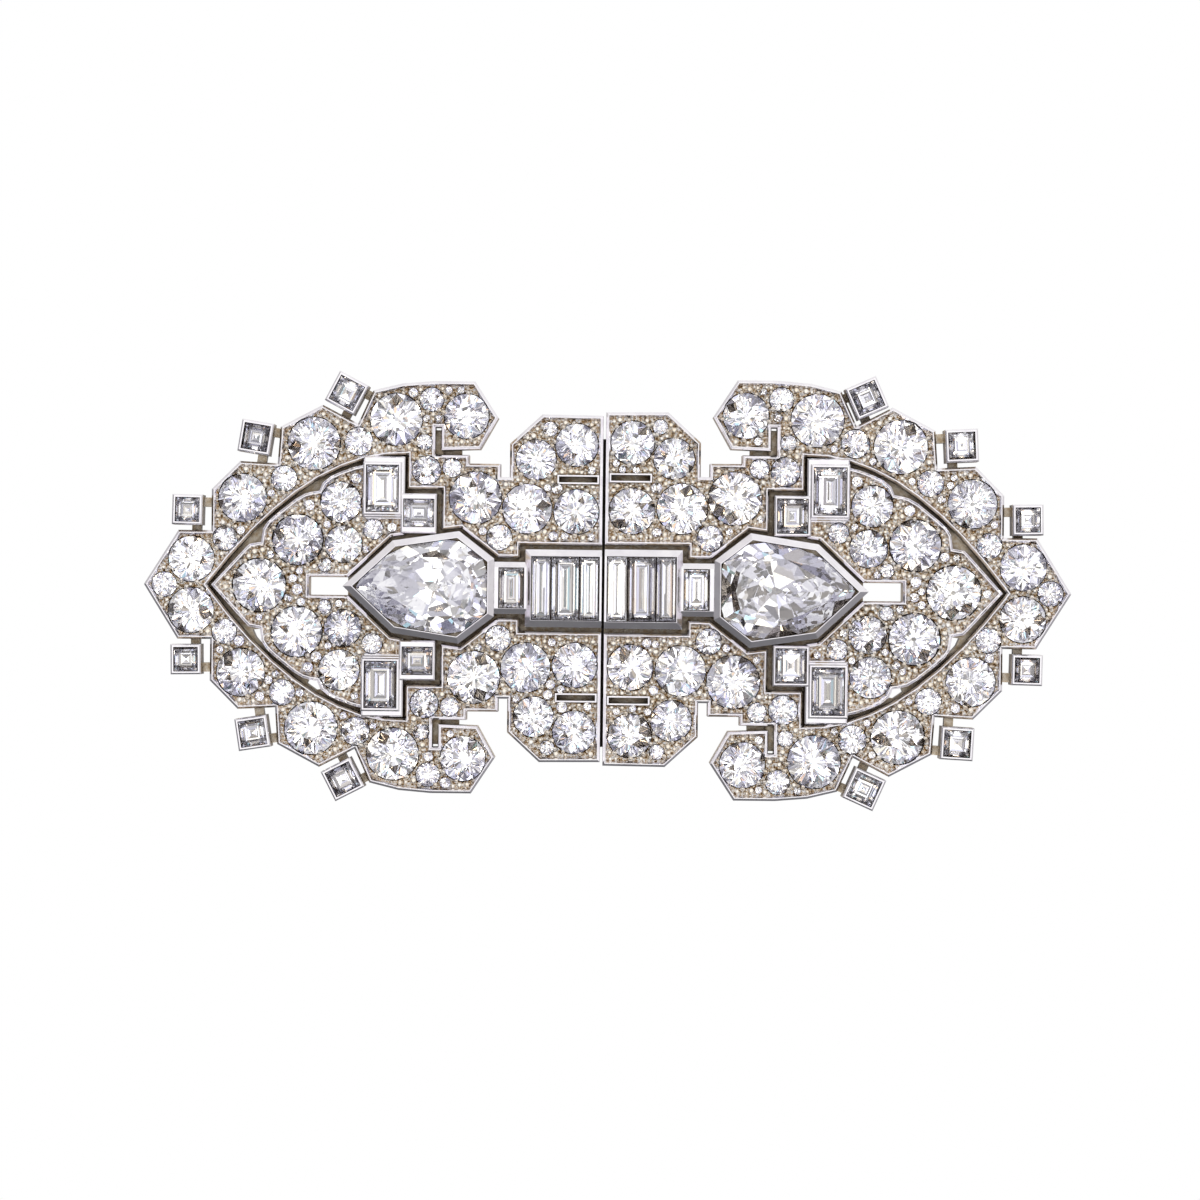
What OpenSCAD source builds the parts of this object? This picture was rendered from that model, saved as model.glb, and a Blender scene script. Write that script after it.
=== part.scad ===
// Art Deco double clip brooch: two pierced, diamond-set clips worn side by side on a hidden frame.
// It lies face up. X runs along the brooch, Y up its face as worn, Z out of the face.
// The origin is the middle of the seam, on the plane that the brooch rests on.

/* [Brooch] */
// Length over the two tips
brooch_l = 70; // [66:0.5:76]
// Gap between the two clips
seam = 0.2; // [0.15:0.05:0.4]
// How much larger the right clip is, and smaller the left one, as in a hand-made pair
pair_growth = 0.01; // [0:0.005:0.015]

/* [Plates] */
// Room under the plates for the clips and the pin
back_z = 3; // [2.8:0.1:3.6]
// Thickness of the gallery floor between the plates
floor_t = 1; // [0.8:0.1:1.2]
// Height of the pierced plates over the gallery floor
plate_h = 1; // [0.9:0.1:1.3]
// How far the arrowhead panel stands above the plate round it
arrow_lift = 0.2; // [0.1:0.05:0.4]
// Width of the slope outside the rim along every plate edge
rim_w = 0.15; // [0.1:0.01:0.3]
// Fall of the rim's outer slope
rim_fall = 0.16; // [0.1:0.02:0.3]
// Flat land on top of the rim
rim_land = 0.07; // [0.05:0.01:0.1]
// Width of the bright-cut slope from the rim down to the stones
rim_cut = 0.15; // [0.08:0.01:0.2]
// How far the stone fields lie below the rims
field_drop = 0.24; // [0.15:0.01:0.35]

/* [Raised settings] */
// Height of the square collets over the gallery floor
collet_h = 1.35; // [1.2:0.05:1.6]
// Height of the bezels round the step-cut stones
bezel_h = 1.8; // [1.6:0.05:2]
// Height of the baguette channel
channel_h = 2.1; // [1.9:0.05:2.3]
// Height of the bezel round the shield diamond
shield_h = 2.5; // [2.3:0.05:2.8]
// Width of the shield bezel's slope
shield_band = 0.5; // [0.4:0.02:0.6]
// Width of a strut that carries a collet
strut_w = 0.7; // [0.5:0.05:0.9]

/* [Stones] */
// Clearance between a stone and its seat
clear = 0.05; // [0.04:0.01:0.08]
// How much the round stones may grow towards their neighbours
stone_growth = 0.12; // [0:0.01:0.12]
// Crown height of a round stone, as a part of its radius
crown_part = 0.34; // [0.28:0.01:0.4]
// Pavilion depth of a round stone, as a part of its radius
pavilion_part = 0.82; // [0.78:0.01:0.86]
// Table radius of a round stone, as a part of its radius
table_part = 0.5; // [0.42:0.01:0.56]

/* [Fittings] */
// Thickness of the clip prongs
prong_t = 0.8; // [0.6:0.05:1]
// Width of one prong
prong_w = 2.6; // [2:0.1:3]
// Room between the two prongs of a clip
prong_gap = 7.2; // [6.8:0.1:7.6]
// Half width of the frame bar behind the seam
bar_w = 3; // [2.4:0.1:3.2]
// Radius of the pin
pin_r = 0.45; // [0.35:0.05:0.55]

/* [Hidden] */
$fn = 40;
u = brooch_l / 70;
floor_z = back_z + floor_t;
rim_z = floor_z + plate_h;
girdle_t = 0.06;
over = 0.3;
sides = [-1, 1];
halves = [1, -1];

// Charts of the right clip's upper half, in mm at a length of 70. The lower half and the left clip mirror them.

// Control points of the curved rail that bounds the band, from its tip to the arm: x, y
rail_points = [[30.15, 0], [22.5, 10.3], [15, 10.05]];
rail_steps = 9;

// Outer edge of the plate, from the tip round the collet notches, arm and lobe to the seam: x, y
plate_edge = [
    [35, 0], [32.4, 4.15], [29.9, 4.15], [29.9, 7.3], [27.75, 9.45], [24.9, 9.3], [24.7, 12.1],
    [21.5, 13.8], [18.8, 12.4], [17.65, 14.95], [15.4, 15.5], [13, 15.7], [9.9, 15.7],
    [8.1, 12.95], [9.45, 10.55], [12.45, 10.45], [12.45, 12.2], [12.9, 12.2], [12.9, 10.1],
    [10.3, 10.1], [10.3, 9.45], [7.9, 9.45], [7.9, 8.45], [7.2, 8.45], [7.2, 11], [4.75, 13.25]
];

// Inner edge of the plate, from the seam along the channel, shield and bezels to the rail: x, y
wing_edge = [
    [6.35, 3.3], [6.35, 2.32], [8.03, 2.32], [10.87, 4.55], [12.35, 4.35], [12.35, 7.45], [15, 7.45]
];
lobe_top = 13.2;

// Edge of the arrowhead panel, from its tip over the scallops, under the bezels and along the window: x, y
arrow_edge = [
    [29.85, 0], [27.3, 2.8], [26.95, 3.15], [26.1, 3.3], [25.95, 4.3], [25.6, 4.85], [25, 5.4],
    [24.25, 6], [23.5, 6.6], [22.8, 7], [22.3, 7.15], [21.7, 7.25], [21.45, 7.85], [20.85, 8.35],
    [20.1, 8.7], [19.05, 9.08], [17.9, 9.35], [17.9, 5.4],
    [15.2, 5.4], [15.2, 3.95], [16.15, 3.8], [19.45, 0.68], [22.4, 0.68]
];

// Gallery floor that ties the plates together: x, y
floor_edge = [
    [30.6, 0], [27.5, 4.1], [24.6, 7], [21.4, 9.2], [18.2, 10.2], [14.7, 10.4], [12, 8.2],
    [12, 5.6], [seam / 2, 4.2]
];

// Openings pierced through the floor where two scallops meet, on the lower half: x, y
scallop_gaps = [
    [[26.1, 3.3], [26.75, 3.4], [26.5, 3.95], [26.15, 4.35], [25.8, 4.3]],
    [[21.6, 7.2], [22.4, 7.1], [22.55, 7.45], [21.85, 7.95], [21.5, 7.9]]
];

// Shield bezel: x, y
shield_edge = [[19.75, 0], [16, 3.5], [10.95, 4.27], [8.27, 2.2]];

// Round stones in the fields: x, y, radius
rounds = [
    [31.4, 1.95, 1.6], [28.85, 3.55, 0.93], [27.55, 6.65, 1.8], [24.4, 8.15, 0.98],
    [22.15, 10.85, 1.95], [18.75, 11.05, 0.97], [15.9, 12.75, 1.93], [13.2, 14.3, 0.84],
    [10.55, 13.05, 1.68], [13.75, 11.05, 0.6], [13.55, 8.9, 1.05], [11.6, 9.1, 0.68],
    [9.8, 6.85, 1.88], [7.95, 3.85, 0.95], [5.85, 6.05, 1.78], [2.1, 5.85, 1.62],
    [5.2, 9.8, 1.5], [2.1, 10.95, 1.6], [4.15, 12.15, 0.52], [19.8, 3.2, 1.4],
    [20.05, 6.4, 1.42], [21.2, 1.6, 0.5], [17.55, 4.35, 0.76]
];
tip_round = [33.45, 0, 0.86];

// Least distance between two stones, and between a stone and the plate's edge
stone_gap = 0.13;
stone_edge = 0.28;

// The three largest round stones: x, y, radius
arrow_round = [26.2, 0, 2.05];
side_round = [23.3, 3.5, 1.95];

// Square stones along the outer edge: x, y, side of the collet, turn on the left clip, turn on the right clip,
// and how much closer to the plate the hand-set upper ones of the right clip sit, along their own x and y
squares = [
    [31.7, 5.7, 2.3, 1, 1, [0.05, 0.2]],
    [26.55, 11.25, 2.45, 9, 3, [-0.1, 0.27]],
    [19.65, 14.7, 2.5, 27.4, 24, [0.2, 0.17]]
];
collet_band = 0.27;
edge_bevel = 0.1;

// Step-cut stones in bezels, each a bezel and a stone: left, right, bottom and top of the bezel, then of the stone
tall_bezel = [15.15, 18.3, 5.25, 9.9];
tall_stone = [15.65, 18.05, 5.7, 9.2];
tall_step = 0.3;
inner_bezel = [12.72, 15.45, 4.08, 7.1];
lying_stone = [12.95, 15.2, 4.6, 6.65];
square_stone = [12.95, 15.2, 4.32, 6.84];

// Baguettes in the channel, from the seam outward: left, right, half length
baguettes = [[0.32, 1.76, 2.38], [1.86, 3.9, 2.38], [4, 5.42, 2.38], [6.05, 7.9, 1.5]];
channel_row = [baguettes[0][0], baguettes[2][1], -baguettes[0][2], baguettes[0][2]];
channel_box = [5.92, 2.95];
small_box = [8.4, 1.98];

// Blind slit between the lobe and the row of stones below it: left, right, bottom, top. Its floor is thin
lobe_slit = [0.52, 3.45, 8.1, 8.54];
slit_floor = 0.35;
slit_rim = 0.12;
slit_rim_drop = 0.08;

// Names
side_names = ["left", "right"];
half_names = ["upper", "lower"];
function side_name(side) = side_names[(side + 1) / 2];
function half_name(half) = half_names[(1 - half) / 2];
function clip_names(part) = [for (s = sides) str(side_name(s), "_", part)];
function half_part_names(part) = [for (s = sides, h = halves) str(side_name(s), "_", half_name(h), "_", part)];
NODES = concat(
    clip_names("mount"), clip_names("round_diamonds"), clip_names("shield_diamond"), clip_names("arrow_diamond"),
    half_part_names("side_diamond"), half_part_names("tall_baguette"), half_part_names("inner_step"),
    [for (i = [1 : len(squares)]) each half_part_names(str("square_", i))],
    [for (i = [1 : len(baguettes)]) each clip_names(str("channel_baguette_", i))],
    clip_names("clip_fitting"), ["brooch_frame"]
);
node = "all";

// Geometry helpers

// Size of a clip against the chart
function grown(side) = u * (1 + side * pair_growth);
function sized(points, g) = [for (p = points) p * g];

// An upper half and its mirror image as one closed outline
function both_halves(p) = concat(p, [for (i = [len(p) - 1 : -1 : 0]) if (p[i][1] > 0) [p[i][0], -p[i][1]]]);

function turned(e) = [-e[1], e[0]];
function unit(v) = v / norm(v);
function area_sum(p) =
    [for (i = [0 : len(p) - 1]) let (q = p[(i + 1) % len(p)]) cross(p[i], q)] * [for (a = p) 1];

// The outline moved inward by d, with mitred corners
function inset(p, d) = let (n = len(p), s = sign(area_sum(p)))
    [for (i = [0 : n - 1]) let (
        a = turned(unit(p[i] - p[(i + n - 1) % n])),
        b = turned(unit(p[(i + 1) % n] - p[i]))
    ) p[i] + d * s * (a + b) / (1 + a * b)];

// Distance from p to the line between a and b
function line_distance(p, a, b) =
    let (t = max(0, min(1, (p - a) * (b - a) / ((b - a) * (b - a))))) norm(p - a - t * (b - a));
function edge_distance(p, outline) =
    min([for (i = [0 : len(outline) - 1]) line_distance(p, outline[i], outline[(i + 1) % len(outline)])]);

function middle(p) = ([for (a = p) 1] * p) / len(p);

// The outline drawn in towards its middle, to the parts k of its width and height
function shrunk(p, k) =
    let (c = middle(p)) [for (a = p) [c[0] + (a[0] - c[0]) * k[0], c[1] + (a[1] - c[1]) * k[1]]];

function box_points(b) = [[b[0], b[2]], [b[1], b[2]], [b[1], b[3]], [b[0], b[3]]];
function square_points(side) = box_points([-side / 2, side / 2, -side / 2, side / 2]);
function square_stone_points(i, g) = square_points(squares[i][2] * g - 2 * collet_band);

// A quadratic curve through a and c, drawn towards b
function curve(a, b, c, steps) =
    [for (i = [0 : steps]) let (t = i / steps) (1 - t) * (1 - t) * a + 2 * t * (1 - t) * b + t * t * c];

rail = curve(rail_points[0], rail_points[1], rail_points[2], rail_steps);
plate_outline = both_halves(concat(
    plate_edge, [[seam / 2, lobe_top], [seam / 2, wing_edge[0][1]]], wing_edge,
    [for (i = [rail_steps : -1 : 0]) rail[i]]
));
arrow_outline = both_halves(arrow_edge);
floor_outline = both_halves(floor_edge);
shield_outline = both_halves(shield_edge);

// Round stones of the upper half that a stone may meet, and how far each may grow
near_rounds =
    concat(rounds, [tip_round, arrow_round, side_round], [for (p = rounds) if (p[1] < 3) [p[0], -p[1], p[2]]]);
function spot(p) = [p[0], p[1]];
function growth(p, outline) = min(concat(
    [1 + stone_growth, (edge_distance(spot(p), outline) - stone_edge) / p[2]],
    [for (q = near_rounds) let (d = norm(spot(p) - spot(q))) if (d > 0.01) (d - stone_gap) / (p[2] + q[2])]
));
function grown_round(p) = [p[0], p[1], p[2] * max(1, growth(p, in_arrow(p) ? arrow_outline : plate_outline))];
set_rounds = [for (p = rounds) grown_round(p)];
set_tip = grown_round(tip_round);

// A solid through rings of points, each ring being its outline and its height, closed by flat ends
module loft(rings) {
    n = len(rings[0][0]);
    last = len(rings) - 1;
    points = [for (r = rings) for (p = r[0]) [p[0], p[1], r[1]]];
    ccw = area_sum(rings[0][0]) > 0;
    faces = concat(
        [[for (i = [0 : n - 1]) i]],
        [for (r = [0 : last - 1], i = [0 : n - 1]) let (j = (i + 1) % n)
            [r * n + i, (r + 1) * n + i, (r + 1) * n + j, r * n + j]],
        [[for (i = [n - 1 : -1 : 0]) last * n + i]]
    );
    polyhedron(points, ccw ? faces : [for (f = faces) [for (i = [len(f) - 1 : -1 : 0]) f[i]]], 4);
}

// A closed band through rings of points, its last ring joined to its first
module band(rings) {
    n = len(rings[0][0]);
    m = len(rings);
    points = [for (r = rings) for (p = r[0]) [p[0], p[1], r[1]]];
    ccw = area_sum(rings[0][0]) > 0;
    faces = [for (r = [0 : m - 1], i = [0 : n - 1]) let (j = (i + 1) % n, s = (r + 1) % m)
        [r * n + i, s * n + i, s * n + j, r * n + j]];
    polyhedron(points, ccw ? faces : [for (f = faces) [for (i = [3 : -1 : 0]) f[i]]], 4);
}

module slab(outline, z0, z1) {
    translate([0, 0, z0]) linear_extrude(z1 - z0) polygon(outline);
}

// Puts what is drawn for the right clip on either clip
module on_clip(side) {
    if (side > 0) children();
    else mirror([1, 0, 0]) children();
}

module on_half(half) {
    if (half > 0) children();
    else mirror([0, 1, 0]) children();
}

// Stones and their seats

// A round stone with a table, 8 crown and 8 pavilion facets
module small_round(r, z) {
    n = 8;
    ring = [for (i = [0 : n - 1]) [cos(i * 45), sin(i * 45)]];
    translate([0, 0, z]) loft([
        [ring * r * 0.06, -pavilion_part * r],
        [ring * r, -girdle_t],
        [ring * r, 0],
        [ring * r * table_part, crown_part * r]
    ]);
}

// A round brilliant with table, stars, mains and halves over a 16-sided girdle
module large_round(r, z) {
    n = 8;
    star_part = 0.76;
    half_step = 22.5;
    star_z = crown_part * (1 - star_part * cos(half_step)) / (1 - table_part);
    low_part = 0.3;
    low_z = pavilion_part * (1 - low_part * cos(half_step));
    points = concat(
        [for (i = [0 : n - 1]) [r * table_part * cos(45 * i), r * table_part * sin(45 * i), crown_part * r]],
        [for (i = [0 : n - 1]) let (a = 45 * i + half_step) [r * star_part * cos(a), r * star_part * sin(a), star_z * r]],
        [for (i = [0 : 15]) [r * cos(half_step * i), r * sin(half_step * i), 0]],
        [for (i = [0 : 15]) [r * cos(half_step * i), r * sin(half_step * i), -girdle_t]],
        [for (i = [0 : n - 1]) let (a = 45 * i + half_step) [r * low_part * cos(a), r * low_part * sin(a), -low_z * r]],
        [[0, 0, -pavilion_part * r]]
    );
    faces = concat(
        [[for (i = [n - 1 : -1 : 0]) i]],
        [for (i = [0 : n - 1]) let (j = (i + 1) % n) each [
            [i, j, 8 + i],
            [i, 8 + i, 16 + 2 * i],
            [i, 16 + 2 * i, 8 + (i + 7) % n],
            [8 + i, 17 + 2 * i, 16 + 2 * i],
            [8 + i, 16 + 2 * j, 17 + 2 * i],
            [48 + i, 32 + 2 * i, 33 + 2 * i],
            [48 + i, 33 + 2 * i, 32 + 2 * j],
            [32 + 2 * i, 48 + i, 56],
            [32 + 2 * i, 56, 48 + (i + 7) % n]
        ]],
        [for (i = [0 : 15]) let (j = (i + 1) % 16) [16 + i, 16 + j, 32 + j, 32 + i]]
    );
    translate([0, 0, z]) polyhedron(points, faces, 4);
}

// Open-backed seat of a round stone, with a ledge under the girdle
module round_seat(r, z) {
    ledge = 0.36 * r;
    translate([0, 0, z - ledge]) cylinder(h = ledge + 2, r = r + clear);
    translate([0, 0, back_z - over]) cylinder(h = z - ledge / 2 - back_z + over, r = 0.72 * r);
}

// Step cuts: how far the first crown step goes in, the heights and the pavilion's shape are set for each stone
mid_part = 0.62;
function mid_keel(keel) = keel + mid_part * ([1, 1] - keel);

// A step-cut stone with two crown steps, a table, two pavilion tiers and a keel. z is its girdle's top
module step_cut(outline, z, step, rise, depth, keel) {
    loft([
        [shrunk(outline, keel), z - depth],
        [shrunk(outline, mid_keel(keel)), z - depth / 2],
        [outline, z - girdle_t],
        [outline, z],
        [inset(outline, step), z + 0.62 * rise],
        [inset(outline, 2.1 * step), z + rise]
    ]);
}

// Open-backed seat of a step-cut stone, with a ledge under the girdle
module step_seat(outline, z, depth, keel, ledge = 0.3) {
    part = [1, 1] - ([1, 1] - mid_keel(keel)) * ledge / (depth / 2 - girdle_t);
    slab(inset(outline, -clear), z - girdle_t - ledge, z + 2);
    slab(inset(shrunk(outline, part), -clear), back_z - over, z - ledge);
}

// Girdle heights
field_girdle = rim_z - field_drop + 0.04;
arrow_girdle = field_girdle + arrow_lift;
collet_girdle = floor_z + collet_h - 0.12;
bezel_girdle = floor_z + bezel_h - 0.12;
channel_girdle = floor_z + channel_h - 0.12;
small_girdle = channel_girdle - 0.2;
shield_girdle = floor_z + shield_h - 0.15;

// Depth, keel, step and rise of each step cut: step, rise, depth, keel parts
square_cut = [0.2, 0.3, 0.95, [0.05, 0.05]];
tall_cut = [0.26, 0.35, 1.25, [0.06, 0.4]];
lying_cut = [0.24, 0.32, 1.1, [0.3, 0.06]];
inner_cut = [0.24, 0.32, 1.2, [0.05, 0.05]];
baguette_cut = [0.2, 0.32, 1.25, [0.06, 0.72]];
shield_cut = [0.62, 0.75, 3.2, [0.06, 0.06]];

function inner_stone(side) = side < 0 ? lying_stone : square_stone;
function inner_stone_cut(side) = side < 0 ? lying_cut : inner_cut;
function baguette_points(b) = box_points([b[0], b[1], -b[2], b[2]]);
function baguette_girdle(i) = i < 3 ? channel_girdle : small_girdle;
function round_girdle(p) = in_arrow(p) ? arrow_girdle : field_girdle;

// Inside the rail lie the stones of the arrowhead panel
function in_arrow(p) = p[0] > 15 && p[1] < 9.5 && p[0] / 30 + p[1] / 17 < 1.08;

module stone_at(p, g, half) {
    translate([p[0] * g, half * p[1] * g, 0]) children();
}

module at_square(i, side, half) {
    q = squares[i];
    turn = side < 0 ? q[3] : q[4];
    closer = side > 0 && half > 0 ? q[5] : [0, 0];
    stone_at(q, grown(side), half) rotate(half * turn) translate([-closer[0], -closer[1], 0]) children();
}

module cut_stone(outline, z, cut) {
    color("white") step_cut(outline, z, cut[0], cut[1], cut[2], cut[3]);
}

module seat_for(outline, z, cut) {
    step_seat(outline, z, cut[2], cut[3]);
}

module square_stone_piece(side, half, i) {
    on_clip(side) at_square(i, side, half)
        cut_stone(square_stone_points(i, grown(side)), collet_girdle, square_cut);
}

module tall_baguette(side, half) {
    on_clip(side) on_half(half) cut_stone(sized(box_points(tall_stone), grown(side)), bezel_girdle, tall_cut);
}

module inner_step(side, half) {
    on_clip(side) on_half(half)
        cut_stone(sized(box_points(inner_stone(side)), grown(side)), bezel_girdle - 0.2, inner_stone_cut(side));
}

module channel_baguette(side, i) {
    on_clip(side) cut_stone(sized(baguette_points(baguettes[i]), grown(side)), baguette_girdle(i), baguette_cut);
}

module shield_diamond(side) {
    on_clip(side)
        cut_stone(inset(sized(shield_outline, grown(side)), shield_band + clear), shield_girdle, shield_cut);
}

module arrow_diamond(side) {
    g = grown(side);
    color("white") on_clip(side) stone_at(arrow_round, g, 1) large_round(arrow_round[2] * g, arrow_girdle);
}

module side_diamond(side, half) {
    g = grown(side);
    color("white") on_clip(side) stone_at(side_round, g, half) large_round(side_round[2] * g, arrow_girdle);
}

module round_diamonds(side) {
    g = grown(side);
    color("gainsboro") on_clip(side) {
        for (p = set_rounds, half = halves)
            stone_at(p, g, half) small_round(p[2] * g, round_girdle(p));
        stone_at(set_tip, g, 1) small_round(set_tip[2] * g, field_girdle);
    }
}

// The metal of one clip

// A plate with a rim round a sunk field, the rim sloping both ways from its flat land
module rimmed_plate(outline, top) {
    foot = top - max(rim_fall, field_drop) - 0.02;
    slab(outline, back_z, foot);
    band([
        [outline, foot],
        [outline, top - rim_fall],
        [inset(outline, rim_w), top],
        [inset(outline, rim_w + rim_land), top],
        [inset(outline, rim_w + rim_land + rim_cut), foot]
    ]);
    slab(inset(outline, rim_w + rim_land / 2), back_z + floor_t / 2, top - field_drop);
}

// A setting with upright walls and a slope from its outer edge up to the stone
module sloped_setting(outer, inner, z0, shoulder, top) {
    loft([[outer, z0], [outer, shoulder], [inner, top]]);
}

// A setting with upright walls and a bevelled edge
module bevelled_setting(outer, z0, top) {
    sloped_setting(outer, inset(outer, edge_bevel), z0, top - edge_bevel, top);
}

module gallery_floor(g) {
    difference() {
        slab(sized(floor_outline, g), back_z, floor_z);
        for (gap = scallop_gaps) on_half(-1) slab(sized(gap, g), back_z - over, floor_z + over);
        slab(sized(box_points([19.5, 22.4, -0.68, 0.68]), g), back_z - over, floor_z + over);
        translate([-over, -5, back_z - over]) cube([over + seam / 2, 10, floor_t + 2 * over]);
    }
    for (half = halves) on_half(half) {
        slab(sized(box_points([10.9, 12.6, 9.9, 10.8]), g), back_z, floor_z - 0.1);
        slab(sized(box_points([12.3, 13.1, 9.8, 12]), g), back_z, floor_z + 0.1);
    }
}

module collet(i, g) {
    side = squares[i][2] * g;
    top = floor_z + collet_h;
    bevelled_setting(square_points(side), back_z + 0.3, top);
    for (turn = [0, 90])
        rotate(turn) translate([-side / 2 - 0.8, side * 0.12, back_z + 0.4])
            cube([side / 2 + 0.4, strut_w, floor_t - 0.2]);
}

module settings(side, g) {
    shield = sized(shield_outline, g);
    sloped_setting(shield, inset(shield, shield_band - 0.06), back_z + 0.2, floor_z + shield_h - 0.32, floor_z + shield_h);
    channel = channel_box * g;
    channel_z = floor_z + channel_h;
    sloped_setting(
        box_points([seam / 2, channel[0], -channel[1], channel[1]]),
        box_points([seam / 2, channel[0] - 0.4, -channel[1] + 0.5, channel[1] - 0.5]),
        back_z + 0.1, channel_z - 0.4, channel_z
    );
    small = small_box * g;
    sloped_setting(
        box_points([channel[0] - 0.2, small[0], -small[1], small[1]]),
        box_points([channel[0] - 0.1, small[0] - 0.1, -small[1] + 0.4, small[1] - 0.4]),
        back_z + 0.15, channel_z - 0.55, channel_z - 0.2
    );
    for (half = halves) on_half(half) {
        bevelled_setting(sized(box_points(tall_bezel), g), back_z + 0.1, floor_z + bezel_h - tall_step);
        bevelled_setting(inset(sized(box_points(tall_stone), g), -collet_band), back_z + 0.15, floor_z + bezel_h);
        bevelled_setting(sized(box_points(inner_bezel), g), back_z + 0.2, floor_z + bezel_h - 0.2);
    }
}

module seats(side, g) {
    for (p = set_rounds, half = halves)
        stone_at(p, g, half) round_seat(p[2] * g, round_girdle(p));
    stone_at(set_tip, g, 1) round_seat(set_tip[2] * g, field_girdle);
    stone_at(arrow_round, g, 1) round_seat(arrow_round[2] * g, arrow_girdle);
    for (half = halves) {
        stone_at(side_round, g, half) round_seat(side_round[2] * g, arrow_girdle);
        for (i = [0 : len(squares) - 1])
            at_square(i, side, half) seat_for(square_stone_points(i, g), collet_girdle, square_cut);
        on_half(half) {
            seat_for(sized(box_points(tall_stone), g), bezel_girdle, tall_cut);
            seat_for(sized(box_points(inner_stone(side)), g), bezel_girdle - 0.2, inner_stone_cut(side));
            slab(sized(box_points(lobe_slit), g), back_z + slit_floor, rim_z + over);
        }
    }
    for (i = [0 : len(baguettes) - 1])
        seat_for(sized(baguette_points(baguettes[i]), g), baguette_girdle(i), baguette_cut);
    slab(inset(sized(box_points(channel_row), g), -clear), channel_girdle - girdle_t, rim_z + 2);
    seat_for(inset(sized(shield_outline, g), shield_band + clear), shield_girdle, shield_cut);
}

module mount(side) {
    g = grown(side);
    color("silver") on_clip(side) difference() {
        union() {
            gallery_floor(g);
            rimmed_plate(sized(plate_outline, g), rim_z);
            rimmed_plate(sized(arrow_outline, g), rim_z + arrow_lift);
            settings(side, g);
            for (half = halves) on_half(half)
                slab(inset(sized(box_points(lobe_slit), g), -slit_rim), back_z + over, rim_z - slit_rim_drop);
            for (i = [0 : len(squares) - 1], half = halves)
                at_square(i, side, half) on_half(half) collet(i, g);
        }
        seats(side, g);
    }
}

// Hidden fittings

fitting_x = [5, 19.2];
hinge_w = 1.6;

// A two-pronged clip, hinged near the window, whose prongs point to the seam
module clip_fitting(side) {
    inner = prong_gap / 2;
    color("gray") on_clip(side) {
        for (half = halves) on_half(half)
            translate([fitting_x[0], inner, 0]) cube([fitting_x[1] - fitting_x[0], prong_w, prong_t]);
        translate([fitting_x[1] - hinge_w, -inner - over, 0]) cube([hinge_w, 2 * (inner + over), prong_t]);
        translate([fitting_x[1] - hinge_w, -inner, prong_t - 0.1])
            cube([hinge_w, 2 * inner, back_z - clear - prong_t + 0.1]);
    }
}

bar_l = 14;
bar_t = 0.8;
strap_w = 2.4;
strap_ends = [-12, 11.4];
block_l = 2;
pin_z = 0.8;

// The bar behind the seam, with a strap along the seam and the pin between its two end blocks
module brooch_frame() {
    bar_top = back_z - clear;
    color("gray") {
        translate([-bar_l, -bar_w, bar_top - bar_t]) cube([2 * bar_l, 2 * bar_w, bar_t]);
        translate([-strap_w / 2, strap_ends[0], bar_top - bar_t])
            cube([strap_w, strap_ends[1] - strap_ends[0], bar_t]);
        for (side = sides)
            translate([side * (bar_l - block_l / 2) - block_l / 2, -1.2, pin_z - 0.6])
                cube([block_l, 2.4, bar_top - bar_t / 2 - pin_z + 0.6]);
        translate([-bar_l + block_l / 2, 0, pin_z]) rotate([0, 90, 0]) cylinder(h = 2 * bar_l - block_l, r = pin_r);
    }
}

// True for the node that is asked for, or for all of them
function wanted(name) = node == "all" || node == name;

for (s = sides) {
    if (wanted(str(side_name(s), "_mount"))) mount(s);
    if (wanted(str(side_name(s), "_round_diamonds"))) round_diamonds(s);
    if (wanted(str(side_name(s), "_shield_diamond"))) shield_diamond(s);
    if (wanted(str(side_name(s), "_arrow_diamond"))) arrow_diamond(s);
    if (wanted(str(side_name(s), "_clip_fitting"))) clip_fitting(s);
    for (i = [0 : len(baguettes) - 1])
        if (wanted(str(side_name(s), "_channel_baguette_", i + 1))) channel_baguette(s, i);
    for (h = halves) {
        if (wanted(str(side_name(s), "_", half_name(h), "_side_diamond"))) side_diamond(s, h);
        if (wanted(str(side_name(s), "_", half_name(h), "_tall_baguette"))) tall_baguette(s, h);
        if (wanted(str(side_name(s), "_", half_name(h), "_inner_step"))) inner_step(s, h);
        for (i = [0 : len(squares) - 1])
            if (wanted(str(side_name(s), "_", half_name(h), "_square_", i + 1))) square_stone_piece(s, h, i);
    }
}
if (wanted("brooch_frame")) brooch_frame();
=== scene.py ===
import math
import random

import bmesh
import bpy
from mathutils import Matrix, Vector
from mathutils.bvhtree import BVHTree


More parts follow.
